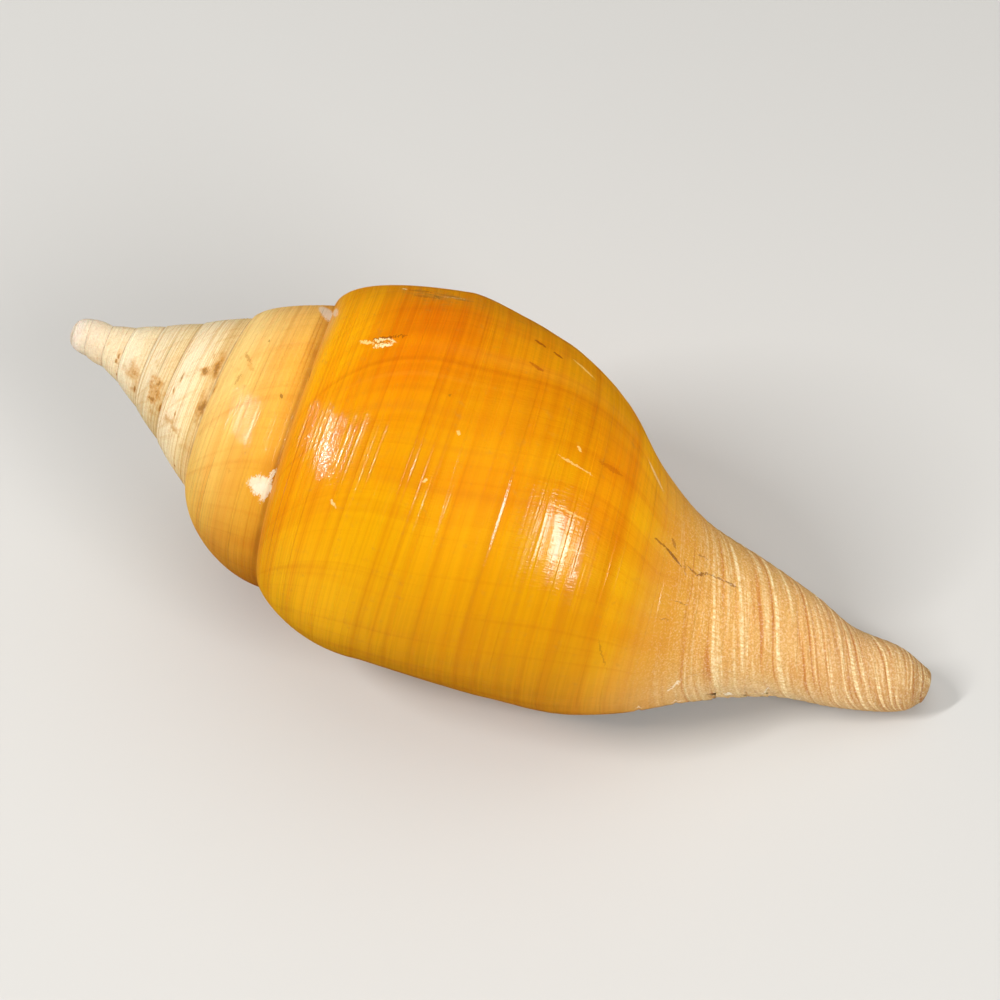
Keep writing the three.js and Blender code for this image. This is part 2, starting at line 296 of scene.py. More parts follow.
def canal(turn, place):
    """1 where the cords are, from below the last whorl's body to the end of the canal, and 0 elsewhere."""
    return smoothstep(place, *CORDS_RISE) * smoothstep(turn, *CORDS_START)


def strand(turn, place):
    """The same number all along one cord, as the cords drift down the canal on their way to the lip."""
    return place - CORD_DRIFT * turn


def cord_crest(turn, place):
    """Cords of uneven width and height, from -1 in a groove to 1 on a crest. Each cord has two crests, and
    its height differs from its neighbours'."""
    one = strand(turn, place)
    along = one / CORD_PITCH + 0.5 * waves(one, (0.31, 0.47)) + 0.12 * waves(turn + place, (0.19, 0.33))
    uneven = 0.8 + 0.3 * waves(along, (2.3, 3.7, 5.1))
    return uneven * (0.6 * np.cos(TURN * along) + 0.4 * np.cos(2 * TURN * along + 1.5))


def spiral_relief(turn, place, radius):
    """Threads and cords that run round the coil, in millimetres."""
    share = smoothstep(place, *THREADS_RISE) * (1 - smoothstep(place, *THREADS_FADE)) * (place <= 1)
    share = share * (1 - smoothstep(turn, *THREADS_END)) * size_share(radius, *THREAD_SIZE)
    thread = THREAD_HEIGHT * share * np.cos(TURN * THREADS_PER_WHORL * place)
    share = canal(turn, place) * (1 - smoothstep(place, *CORDS_FADE)) * size_share(radius, *CORD_SIZE)
    bead = 1 + BEAD_HEIGHT * waves(turn + 0.002 * np.sin(9 * place / CORD_PITCH), BEAD_PITCHES)
    return thread + CORD_HEIGHT * share * cord_crest(turn, place) * bead


def growth_relief(turn, place, radius):
    """Waves along the growth lines, and the ridge that each whorl starts with at its seam."""
    lines = waves(turn + 0.004 * np.sin(5 * place), WAVE_PITCHES)
    away = smoothstep(turn, *WAVES_LEAVE_SEAM)
    near_seam = np.where(place <= 1, 1 - smoothstep(place, *WAVES_NEAR_SEAM) * (1 - away), away)
    ends = smoothstep(place, *WAVES_RISE) * (1 - smoothstep(place, *WAVES_FADE)) * near_seam
    ends = ends * smoothstep(-turn, 0, WAVES_END)
    start, crest, end = SEAM_RIDGE_PLACES
    ridge = smoothstep(place, start, crest) * (1 - smoothstep(place, crest, end))
    ridge = ridge * size_share(radius, *SEAM_RIDGE_SIZE) * smoothstep(turn, *SEAM_RIDGE_START)
    rounded = (1 - smoothstep(turn, *APEX_ROUNDING_END)) * 4 * place * (1 - place) * (place <= 1)
    wave = size_share(radius, *WAVE_SIZE) * lines * ends
    return WAVE_HEIGHT * wave + SEAM_RIDGE_HEIGHT * ridge + APEX_ROUNDING * rounded


def lip_cut(place):
    """How far back the edge of the lip is chipped and worn, in turns."""
    cut = LIP_WAVE * (1 + waves(place, LIP_WAVE_PITCHES))
    for at, half_width, reach in LIP_CHIPS:
        ragged = place + 0.25 * half_width * np.sin(TURN * place / CHIP_EDGE_PITCH)
        cut = cut + reach * np.clip(1.4 - 1.4 * np.abs(ragged - at) / half_width, 0, 1)
    return cut * smoothstep(place, *LIP_WEAR_RISES) * (1 - smoothstep(place, *LIP_WEAR_FADES))


def outside(turn, place):
    """The outside with its fine relief and chipped lip, as (depth, radius, angle)."""
    turn = turn - lip_cut(place) * smoothstep(turn, -CHIP_FADES_OVER, 0)
    depth, radius, angle = smooth_outside(turn, place)
    return depth, radius + spiral_relief(turn, place, radius) + growth_relief(turn, place, radius), angle


def coil_point(depth, radius, angle):
    """A point in the coil's frame, in metres."""
    bend = CANAL_BEND * np.maximum(0, depth - CANAL_BEND_START) ** 2
    shift = APEX_SHIFT * (1 - smoothstep(depth, *APEX_SHIFT_DEPTHS))
    across = -radius * np.cos(TURN * angle) + bend - shift
    return np.stack([depth, across, -radius * np.sin(TURN * angle)], -1) * MM


# Rows of the last whorl, and the row where the mouth's inner wall starts
ROW_PLACES = np.concatenate([
    np.linspace(0, 1, SHOULDER_ROWS + 1),
    np.linspace(1, BODY_END, BODY_ROWS + 1)[1:],
    np.linspace(BODY_END, CANAL_END, CANAL_ROWS + 1)[1:],
])
SEAM_ROW = SHOULDER_ROWS
WALL_ROW = SEAM_ROW + round((MOUTH_START - 1) * BODY_ROWS / (BODY_END - 1))
END_ROW = len(ROW_PLACES) - 1
LIP_COLUMNS = WALL_ROW - SEAM_ROW


def line_reader(turn, first_row):
    """Reads one smooth growth line by depth, as (radius, lead)."""
    places = ROW_PLACES[first_row:]
    depth, radius, angle = smooth_outside(np.full(len(places), float(turn)), places)
    rising = np.maximum.accumulate(depth)
    return lambda at: (np.interp(at, rising, radius), np.interp(at, rising, angle - turn))


read_inner_wall = line_reader(-1, SEAM_ROW)


def inner_point(inward, depth):
    """The mouth's inner wall: the first growth line of the last whorl again, smaller by the growth."""
    scale = GROWTH ** -inward
    radius, ahead = read_inner_wall(depth / scale)
    return depth, radius * scale, ahead - 1 - inward


def mouth_ends(inward):
    scale = GROWTH ** -inward
    closed = 1 - math.exp(-inward / CANAL_CLOSING_TURNS)
    top, end = smooth_outside(np.full(2, -1.0), np.array([MOUTH_START, CANAL_END]))[0]
    return top * scale, mix(end, MOUTH_FLOOR_DEPTH, closed) * scale


def row_shares(turn, first_row):
    """How far down the mouth each row is, from 0 to 1."""
    depths = smooth_outside(np.full(END_ROW + 1 - first_row, float(turn)), ROW_PLACES[first_row:])[0]
    return (depths - depths[0]) / (depths[-1] - depths[0])


LIP_SHARES = row_shares(0, 0)
WALL_SHARES = row_shares(-1, WALL_ROW)


def hollow_reach(inward, along):
    """How far the hollow reaches from the inner wall to the outer one: 0 at its ends, 1 between."""
    rounding = mix(*MOUTH_END_ROUNDING, smoothstep(inward, 0, ROUNDING_GROWS_OVER))
    from_top = 1 - np.clip(along / MOUTH_TOP_ROUNDING, 0, 1)
    from_end = 1 - np.clip((1 - along) / rounding, 0, 1)
    return np.sqrt(1 - from_top ** 2) * np.sqrt(1 - from_end ** 2)


def wall_line(inward):
    """One line of points down the mouth's inner wall."""
    if inward == 0:
        return coil_point(*outside(np.full(END_ROW + 1 - WALL_ROW, -1.0), ROW_PLACES[WALL_ROW:]))
    top, end = mouth_ends(inward)
    return coil_point(*inner_point(inward, mix(top, end, WALL_SHARES)))


def roof_line(inward):
    """One line of points down the mouth's outer wall, which meets the inner wall at both ends."""
    top, end = mouth_ends(inward)
    depth = mix(top, end, LIP_SHARES)
    thickness = mix(LIP_THICKNESS, WALL_THICKNESS, smoothstep(inward, 0, WALL_THICKENS_OVER))
    near_radius, near_angle = inner_point(inward, depth)[1:]
    far_radius, far_lead = line_reader(-inward, 0)(depth)
    reach = hollow_reach(inward, LIP_SHARES)
    radius = near_radius + np.maximum(LEAST_HOLLOW, far_radius - thickness - near_radius) * reach
    points = coil_point(depth, radius, mix(near_angle + 1, far_lead - inward, reach))
    wall = wall_line(inward)
    points[0], points[-1] = wall[0], wall[-1]
    return points


def colour(code):
    """A colour for a shader's socket from its sRGB hex code, such as "E0952E"."""
    shares = [int(code[k:k + 2], 16) / 255 for k in (0, 2, 4)]
    return [c / 12.92 if c <= 0.04045 else ((c + 0.055) / 1.055) ** 2.4 for c in shares] + [1]


# Ground colours of the shell as it grew: by turn at the top of each whorl, at its foot,
# and by place down the canal
TOP_COLOURS = (
    (-9, "F4E6D4"), (-7, "F2E2CC"), (-6, "F2DEB8"), (-5, "F8E8C0"), (-4, "F6E9C8"), (-3.2, "EEDCB2"),
    (-2.3, "FAEAC4"), (-1.9, "F6DEA4"), (-1.5, "F8D282"), (-1.2, "EEBA50"), (-1, "D8901C"), (-0.5, "F4AC0A"),
    (-0.4, "E69602"), (-0.3, "EAA206"), (-0.2, "F0B00E"), (-0.05, "DE9E16"),
)
FOOT_COLOURS = (
    (-9, "F2E2CC"), (-5, "F4DFB4"), (-3.2, "E8D09A"), (-2.3, "F8DC9C"), (-1.7, "F4C068"), (-1.4, "F0B040"),
    (-1.25, "E2A02A"), (-1.1, "C07408"), (-0.9, "D07808"), (-0.5, "EE9E04"), (-0.4, "DC9202"),
    (-0.3, "DE9E02"), (-0.2, "D89202"), (-0.05, "CC8C0E"),
)
CANAL_COLOURS = (
    (1.8, "E09A20"), (2.1, "DC9C34"), (2.4, "DCA85C"), (2.9, "D4A468"), (3.3, "C89C62"), (3.5, "B08A58"),
)

# Places over which one ground colour turns into the next. Their edges waver, and in the last part of a turn
# before the lip the canal's colours start higher up
FOOT_STARTS = (0.25, 1)
CANAL_STARTS = (1.84, 2.02)
CANAL_CLIMB = 0.8
CANAL_CLIMB_START = -0.18
WAVER = 0.04
WAVER_PITCHES = (0.043, 0.071, 0.13)

# Soft patches on that ground, one of them a painted sheen: colour, turn, place, half the width of each,
# and strength
GROUND_PATCHES_AND_SHEEN = (
    ("E06C00", -0.482, 0.83, 0.05, 0.3, 0.85),
    ("E88402", -0.425, 0.78, 0.05, 0.16, 0.65),
    ("F4B410", -0.2, 0.7, 0.06, 0.35, 0.75),
    ("EEAC0C", -0.26, 1.87, 0.22, 0.09, 0.7),
    ("EEA80C", -0.385, 1.8, 0.05, 0.14, 0.6),
    ("EC8C06", -0.34, 1.72, 0.07, 0.13, 0.6),
    # Painted sheen: a pale patch on the body in place of a faint reflection of a large light
    ("F6A414", -0.33, 1.25, 0.07, 0.2, 0.4),
    ("D98E1A", -0.06, 1.7, 0.07, 0.4, 0.5),
    ("DC9C48", -0.42, 0.03, 0.4, 0.09, 0.6),
    ("E0B66E", -0.47, 0.05, 0.03, 0.1, 0.5),
    ("E2C492", -0.05, 2.5, 0.07, 0.4, 0.75),
)


def how_far(turn, place, at_turn, at_place, half_turn, half_place):
    """The distance from a patch's middle, squared, as a share of half its width."""
    return ((turn - at_turn) / half_turn) ** 2 + ((place - at_place) / half_place) ** 2


def blend_stops(value, stops):
    """A colour between the nearest two stops, for each value."""
    at = [stop[0] for stop in stops]
    shades = np.array([colour(stop[1]) for stop in stops])
    return np.stack([np.interp(value, at, shades[:, k]) for k in range(4)], -1)


def ground_colour(turn, place):
    wavy = place + WAVER * waves(turn, WAVER_PITCHES)
    foot = smoothstep(wavy, *FOOT_STARTS)[..., None]
    shade = mix(blend_stops(growth_line(turn, place), TOP_COLOURS), blend_stops(turn, FOOT_COLOURS), foot)
    climbed = wavy + CANAL_CLIMB * np.maximum(0, turn - CANAL_CLIMB_START)
    shade = mix(shade, blend_stops(place, CANAL_COLOURS), smoothstep(climbed, *CANAL_STARTS)[..., None])
    for code, *patch, strength in GROUND_PATCHES_AND_SHEEN:
        share = (strength * np.exp(-how_far(turn, place, *patch)))[..., None]
        shade = mix(shade, np.array(colour(code)), share)
    return shade


def add_sheet(name, points):
    """A grid, with its points moved onto the surface. points is rows by columns by 3."""
    rows, columns = points.shape[0] - 1, points.shape[1] - 1
    bpy.ops.mesh.primitive_grid_add(x_subdivisions=columns, y_subdivisions=rows, size=2)
    sheet = bpy.context.object
    sheet.name = name
    flat = np.empty(len(sheet.data.vertices) * 3)
    sheet.data.vertices.foreach_get("co", flat)
    spot = (flat.reshape(-1, 3)[:, :2] + 1) / 2
    column = np.round(spot[:, 0] * columns).astype(int)
    row = np.round(spot[:, 1] * rows).astype(int)
    sheet.data.vertices.foreach_set("co", points[row, column].ravel())
    return sheet, row, column


def note(sheet, name, values, kind="FLOAT", field="value"):
    """Keeps a value for each corner of each face, for the materials to read. Two sheets that meet at a seam
    share its points, but each keeps its own values there."""
    corners = np.empty(len(sheet.data.loops), int)
    sheet.data.loops.foreach_get("vertex_index", corners)
    kept = sheet.data.attributes.new(name, kind, "CORNER")
    kept.data.foreach_set(field, np.asarray(values, float)[corners].ravel())


# Old edges of the shell, which the bands of growth follow. They are curved from the seam down to one place,
# and lie furthest back at the other
EDGE_CURVE = 0.1
EDGE_CURVE_END = 2
EDGE_FURTHEST_BACK = 1.1


def growth_line(turn, place):
    """The same number all along one old edge of the shell."""
    return turn - EDGE_CURVE * (np.minimum(place, EDGE_CURVE_END) - EDGE_FURTHEST_BACK) ** 2


def cord(turn, place):
    """From -1 in a groove between two cords to 1 on a crest, and 0 away from the cords."""
    return canal(turn, place) * cord_crest(turn, place)


# Dirty patches: turn, place, half the width of each, and strength
DIRTY_PATCHES = (
    (-4.285, 0.62, 0.03, 0.3, 1.2), (-5.27, 0.85, 0.05, 0.12, 0.9), (-4.23, 0.8, 0.03, 0.2, 0.6),
    (-3.285, 0.66, 0.03, 0.22, 1.3), (-3.245, 0.6, 0.012, 0.12, 1.2), (-3.22, 0.9, 0.04, 0.15, 0.6),
    (-2.362, 0.7, 0.01, 0.14, 1.3), (-2.385, 0.88, 0.035, 0.07, 1.2), (-2.3, 0.9, 0.022, 0.09, 1.3),
    (-2.235, 0.38, 0.012, 0.25, 1.0), (-2.33, 0.3, 0.012, 0.12, 0.4), (-1.39, 0.4, 0.02, 0.12, 0.5),
    (-1.36, 0.05, 0.05, 0.06, 0.7), (-1.12, 0.85, 0.04, 0.15, 0.4), (-0.53, 0.8, 0.015, 0.2, 1.0),
    (-5.296, 0.86, 0.006, 0.03, 2.5), (-5.265, 0.81, 0.006, 0.03, 2), (-5.19, 0.96, 0.007, 0.02, 2),
    (-4.215, 0.9, 0.006, 0.03, 2), (-3.24, 0.965, 0.006, 0.02, 2.5), (-3.212, 0.7, 0.004, 0.025, 2),
    (-2.303, 0.185, 0.003, 0.02, 2), (-2.26, 0.42, 0.003, 0.018, 2), (-2.2225, 0.85, 0.004, 0.02, 2.5),
    (-2.147, 0.66, 0.003, 0.018, 2.5), (-2.399, 0.718, 0.003, 0.015, 2), (-2.336, 0.255, 0.01, 0.012, 2),
)
DIRT_SPREAD = 1.5

# How vivid the bands are on the spire and the canal, and over which turns and places they get so.
# The spire's own lines start below its apex, and grow from their first strength to 1
LEAST_VIVID = 0.25
SPIRE_ENDS = (-1.9, -1.1)
CANAL_PALES = (1.85, 2.2)
SPIRE_LINES_START = (-7, -5.8)
SPIRE_LINES_GROW = (-4.5, -2.8)
SPIRE_LINES_FIRST = 0.4


def dirt(turn, place):
    """How dirty and worn the surface is: 0 where it is clean, and over 1 in the worst spots."""
    return sum(s * np.exp(-how_far(turn, place, *patch) / DIRT_SPREAD) for *patch, s in DIRTY_PATCHES)


def vivid(turn, place):
    """How strongly the bands and growth lines show: fully on the last whorl, less on the spire and canal."""
    paler = np.maximum(1 - smoothstep(turn, *SPIRE_ENDS), smoothstep(place, *CANAL_PALES))
    return mix(1, LEAST_VIVID, paler)


def spire(turn):
    """How strongly the spire's own lines show: most on its larger whorls, and not on the last whorl."""
    grown = mix(SPIRE_LINES_FIRST, 1, smoothstep(turn, *SPIRE_LINES_GROW))
    return (1 - smoothstep(turn, *SPIRE_ENDS)) * grown * smoothstep(turn, *SPIRE_LINES_START)


def note_all(made, turn, place, mouth):
    """Notes everything that the materials read. The mouth's share is 1 inside it and 0 outside."""
    sheet, row, column = made
    shape = row.max() + 1, column.max() + 1
    turn, place, mouth = [np.broadcast_to(values, shape)[row, column] for values in (turn, place, mouth)]
    found = {
        "turn": turn, "place": place, "mouth": mouth, "growth": growth_line(turn, place),
        "strand": strand(turn, place), "cord": cord(turn, place), "dirt": dirt(turn, place),
        "vivid": vivid(turn, place), "spire": spire(turn), "canal": canal(turn, place),
    }
    for name, values in found.items():
        note(sheet, name, values)
    note(sheet, "ground", ground_colour(turn, place), "FLOAT_COLOR", "color")
    return sheet


def outer_sheets():
    """The shoulders of all whorls, and the rest of the last whorl."""
    made = []
    parts = (("shoulders", WHORLS, ROW_PLACES[:SEAM_ROW + 1]), ("body and canal", 1, ROW_PLACES[SEAM_ROW:]))
    for name, whorls, places in parts:
        turn, place = np.meshgrid(np.linspace(-whorls, 0, whorls * COLUMNS + 1), places)
        made.append(note_all(add_sheet(name, coil_point(*outside(turn, place))), turn, place, 0))
    return made


# How far inwards each line of points down the mouth's walls is. They are closest together at the lip
MOUTH_INWARDS = MOUTH_TURNS * np.linspace(0, 1, MOUTH_COLUMNS + 1) ** 1.5


def chipped_roofs(inwards):
    """The mouth's outer wall, which starts where the lip's edge is chipped back to."""
    roofs = np.stack([roof_line(inward) for inward in inwards], 1)
    cuts = lip_cut(ROW_PLACES)[:, None] * (1 - smoothstep(inwards, 0, CHIP_FADES_OVER))
    for row, started in enumerate(inwards + cuts):
        roofs[row] = np.stack([np.interp(started, inwards, roofs[row, :, k]) for k in range(3)], -1)
    return roofs


def mouth_sheets():
    """The inner wall, the outer wall and the far end of the hollow."""
    inwards = MOUTH_INWARDS
    walls = np.stack([wall_line(inward) for inward in inwards], 1)
    roofs = chipped_roofs(inwards)
    far = walls[:, -1].mean(0) / 2 + roofs[:, -1].mean(0) / 2
    turns = -inwards[None, :]
    made = [
        note_all(add_sheet("inner wall", walls), turns - 1, ROW_PLACES[WALL_ROW:, None], 1),
        note_all(add_sheet("outer wall", roofs), turns, ROW_PLACES[:, None], 1),
    ]
    ends = (("wall's far end", walls[:, -1], WALL_ROW), ("roof's far end", roofs[:, -1], 0))
    for name, edge, first_row in ends:
        closing = np.stack([edge, np.broadcast_to(far, edge.shape)], 1)
        made.append(note_all(add_sheet(name, closing), -MOUTH_TURNS, ROW_PLACES[first_row:, None], 1))
    return made


def lip_sheet():
    """The rounded edge of the lip, which starts on the widest line where the mouth does."""
    edge = coil_point(*outside(np.zeros(END_ROW + 1), ROW_PLACES))
    inside = chipped_roofs(MOUTH_INWARDS)[:, 0]
    across = np.linspace(0, 1, LIP_COLUMNS + 1)[None, :, None]
    points = mix(edge[:, None], inside[:, None], across)
    a_little_before = -0.004
    forward = edge - coil_point(*outside(np.full(END_ROW + 1, a_little_before), ROW_PLACES))
    forward = forward / np.linalg.norm(forward, axis=1, keepdims=True)
    width = np.linalg.norm(edge - inside, axis=1)
    rows = np.arange(END_ROW + 1)
    ends = smoothstep(rows, 0, LIP_END_ROWS) * smoothstep(END_ROW - rows, 0, LIP_END_ROWS)
    bulge = (np.minimum(width, LIP_THICKNESS * MM) * LIP_BULGE * ends)[:, None, None]
    points = points + forward[:, None] * bulge * np.sin(np.pi * across)
    first = np.linspace(SEAM_ROW, WALL_ROW, LIP_COLUMNS + 1)
    places = np.interp(first, rows, ROW_PLACES)
    points[0] = coil_point(*outside(np.full(LIP_COLUMNS + 1, -1.0), places))
    return note_all(add_sheet("lip", points), 0, ROW_PLACES[:, None], across[:, :, 0])


def dome(edge, tip):
    """Closes an edge to a point by a rounded end, which leaves the edge along the coil's axis."""
    bend = np.linspace(0, math.pi / 2, CAP_ROWS + 1)[:, None, None]
    across = tip + (edge - tip) * np.cos(bend)
    across[..., 0] = edge[:, 0] + (tip[0] - edge[:, 0]) * np.sin(bend[..., 0])
    return across


def cap_sheets():
    """The apex and the end of the canal, each closed to a point."""
    made = []
    apex = coil_point(*outside(np.array([-float(WHORLS)]), np.array([0.0])))[0]
    turns = np.linspace(-WHORLS, 1 - WHORLS, COLUMNS + 1)
    top = coil_point(*outside(turns, np.zeros(COLUMNS + 1)))
    side = coil_point(*outside(np.full(SEAM_ROW + 1, -float(WHORLS)), ROW_PLACES[:SEAM_ROW + 1]))
    for name, edge in (("apex top", top), ("apex side", side)):
        closing = np.stack([edge, np.broadcast_to(apex, edge.shape)])
        made.append(note_all(add_sheet(name, closing), -WHORLS, 0, 0))
    tip = coil_point(np.array([TIP_DEPTH]), np.zeros(1), np.zeros(1))[0]
    rim = coil_point(*outside(np.linspace(-1, 0, COLUMNS + 1), np.full(COLUMNS + 1, CANAL_END)))
    share = np.linspace(0, 1, LIP_COLUMNS + 1)[:, None]
    rim = np.concatenate([rim, mix(rim[-1], rim[0], share)[1:]])
    around = np.concatenate([np.linspace(-1, 0, COLUMNS + 1), np.full(LIP_COLUMNS, 0.0)])
    made.append(note_all(add_sheet("canal end", dome(rim, tip)), around, CANAL_END, 0))
    return made


def lay_down(shell):
    """Turns the shell from the coil's frame to how it rests, and stands it where the solid part stands."""
    turned = Matrix.Rotation(REST_PITCH, 4, "Y") @ Matrix.Rotation(REST_ROLL, 4, "X")
    shell.data.transform(turned)
    corners = np.array([v.co for v in shell.data.vertices])
    low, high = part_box("shell")
    wanted = np.array([(low.x + high.x) / 2, (low.y + high.y) / 2, low.z])
    found = (corners.min(0) + corners.max(0)) / 2
    found[2] = corners[:, 2].min()
    offset = Matrix.Translation(Vector(wanted - found))
    shell.data.transform(offset)
    return offset @ turned


def model_shell():
    """The sheets, joined and merged to one closed mesh, and the coil's frame as it lies."""
    sheets = outer_sheets() + mouth_sheets() + [lip_sheet()] + cap_sheets()
    bpy.ops.object.select_all(action="DESELECT")
    for sheet in sheets:
        sheet.select_set(True)
    bpy.context.view_layer.objects.active = sheets[0]
    bpy.ops.object.join()
    shell = sheets[0]
    shell.name = "turbinella_shell"
    placed = lay_down(shell)
    bpy.ops.object.mode_set(mode="EDIT")
    bpy.ops.mesh.select_all(action="SELECT")
    bpy.ops.mesh.remove_doubles(threshold=MERGE_WITHIN)
    bpy.ops.mesh.dissolve_degenerate(threshold=MERGE_WITHIN)
    bpy.ops.mesh.normals_make_consistent(inside=False)
    bpy.ops.object.mode_set(mode="OBJECT")
    bpy.ops.object.shade_smooth()
    return shell, placed


shell, coil_frame = model_shell()
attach(shell, "root")
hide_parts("shell")


def add_node(material, kind, settings=None, mapping=None, **sockets):
    """Adds a node. A texture node can have a mapping of its own, which renders faster than a node for it.
    A socket is given by its name or number, and takes a number, a colour or another node."""
    node = material.node_tree.nodes.new("ShaderNode" + kind)
    for name, value in (settings or {}).items():
        setattr(node, name, value)
    for name, value in (mapping or {}).items():
        setattr(node.texture_mapping, name, value)
    for name, value in sockets.items():
        socket = node.inputs[int(name[1:])] if name[1:].isdigit() else node.inputs[name.replace("_", " ")]
        if isinstance(value, bpy.types.Node):
            value = next(output for output in value.outputs if output.enabled)
        if isinstance(value, bpy.types.NodeSocket):
            material.node_tree.links.new(value, socket)
        else:
            socket.default_value = value
    return node


def new_material(name):
    """A material, and add_node for that material."""
    material = bpy.data.materials.new(name)
    material.use_nodes = True
    material.node_tree.nodes.clear()
    return material, partial(add_node, material)


# One turn is about 150 mm round and one place about 38 mm long on the last whorl
PLACES_PER_TURN = 4

# Streaks that follow the growth lines or run round the coil. Each has the attribute that says where it shows,
# the colour that it multiplies the ground by, how often it comes per turn of growth and per place, between
# which values of the noise it rises, and its strength
STREAKS = (
    ("broad growth bands", "vivid", "EFBC80", 14, 0.35, 0.5, 0.75, 0.35),
    ("growth bands", "vivid", "E4AE70", 40, 0.5, 0.55, 0.8, 0.3),
    ("fine growth lines", "vivid", "DCA468", 170, 0.8, 0.52, 0.85, 0.2),
    ("broad spiral bands", "vivid", "EBB070", 0.5, 8, 0.5, 0.75, 0.3),
    ("spiral bands", "vivid", "E4AC74", 0.9, 20, 0.5, 0.8, 0.3),
    ("fine spiral lines", "vivid", "DEAC74", 2, 60, 0.55, 0.8, 0.25),
    ("spiral lines on the spire", "spire", "DCBC84", 1.5, 20, 0.45, 0.7, 0.55),
    ("fine threads on the spire", "spire", "D2A45C", 3, 48, 0.48, 0.62, 0.42),
    ("growth lines on the spire", "spire", "E8CC9C", 60, 1.5, 0.5, 0.8, 0.4),
)

# Soft lines of old edges of the lip, which follow a growth line: colour, growth, place, half the length
# and half the width in places, and strength. They and the bands fade out at this many times the half
LINE_REACH = 1.6
OLD_EDGES = (
    ("C05E04", -0.4405, 1.05, 0.95, 0.01, 0.35),
    ("FFB438", -0.4535, 1.4, 0.5, 0.03, 0.12),
    ("D06A04", -0.474, 0.75, 0.45, 0.03, 0.4),
    ("C86804", -0.4315, 0.95, 0.5, 0.009, 0.25),
    ("FFB430", -0.4245, 0.8, 0.4, 0.01, 0.12),
    ("C86804", -0.412, 0.85, 0.4, 0.014, 0.3),
    ("C87010", -0.395, 0.8, 0.35, 0.02, 0.3),
    ("C87010", -0.368, 1.05, 0.4, 0.012, 0.25),
    ("C87010", -0.335, 1.2, 0.5, 0.014, 0.25),
)

# Soft darker bands round the coil, the last of them a painted shadow of a spiral groove on the spire: colour,
# turn, place, half the length and half the width in places, and strength
BANDS_AND_GROOVE_SHADOW = (
    ("D07C04", -0.38, 1.345, 0.6, 0.012, 0.4),
    ("C87808", -0.17, 1.36, 0.75, 0.013, 0.6),
    ("CC7C08", -0.17, 1.425, 0.7, 0.012, 0.5),
    ("CC7C08", -0.2, 1.5, 0.7, 0.012, 0.45),
    ("C87808", -0.25, 1.67, 0.7, 0.018, 0.5),
    ("CC8008", -0.2, 1.2, 0.7, 0.01, 0.3),
    ("CC8008", -0.4, 0.3, 0.6, 0.009, 0.4),
    ("CC8008", -0.38, 0.44, 0.8, 0.007, 0.4),
    ("CC8008", -0.3, 0.57, 0.7, 0.006, 0.3),
    ("9A5A18", -1.36, 0.6, 0.6, 0.01, 0.25),
    # Painted shadow of a spiral groove in a spire whorl, which the surface has no groove for
    ("A88450", -3.38, 0.57, 0.3, 0.025, 0.5),
)

# Crests and grooves of the cords: how often fibres and beads come per turn and per place along the cords,
# how far fibres and the cords themselves raise and lower the edge between the two colours, and those colours
FIBRES = (2.5, 42)
BEADS = (190, 20)
FIBRE_SWING = 1.4
CORD_SWING = 0.6
# The pale crest colour is partly the crests' own rubbed colour and partly painted glints of light
CREST_AND_GLINT_COLOUR = "FAE2AC"
GROOVE_COLOUR = "D8A460"

# Dirt and painted shade in the seam under each whorl of the spire: a thin dark line, and a wide soft band
# that darkens the seam's crease as its shadow would. Each has its colour, the place where it starts, and its
# strength on the older seams and on the last one. Both are at full strength from one place on
SEAM_DIRT_AND_SHADE = (("864608", 0.955, 0.6, 0.4), ("C07418", 0.84, 0.1, 0.55))
SEAM_DIRT_AND_SHADE_FULL = 0.99
LAST_SEAM = (-2.05, -1.95)
SEAMS_END = (-1.02, -0.98)

# Brown stains in the dirty patches: colour, the blot values between which they rise, and strength.
# Dirt adds this share of itself to the blots
STAINS = (("C4842C", 0.58, 0.95, 0.75), ("8A5A1E", 0.88, 0.98, 0.6))
BLOTS_PER_METRE = 900
DIRT_WEIGHT = 0.34

# Chalky grain a quarter of a millimetre wide: colour, the noise values between which it rises, and strength
GRAINS = (("B8864C", 0.5, 0.7, 0.5), ("FFF4DC", 0.5, 0.28, 0.3))
GRAINS_PER_METRE = 3800

# Fine ridges: how often they come per turn and per place, between which values of the noise they rise,
# and their height in millimetres. They are growth lines a quarter of a millimetre and 2.5 mm apart, flat
# ribs with narrow grooves 1.5 mm apart, and last, threads half a millimetre apart
RIDGES = ((600, 34, 0, 1, 0.026), (60, 1, 0, 1, 0.07), (3, 25, 0.36, 0.47, 0.05), (8, 70, 0, 1, 0.025))
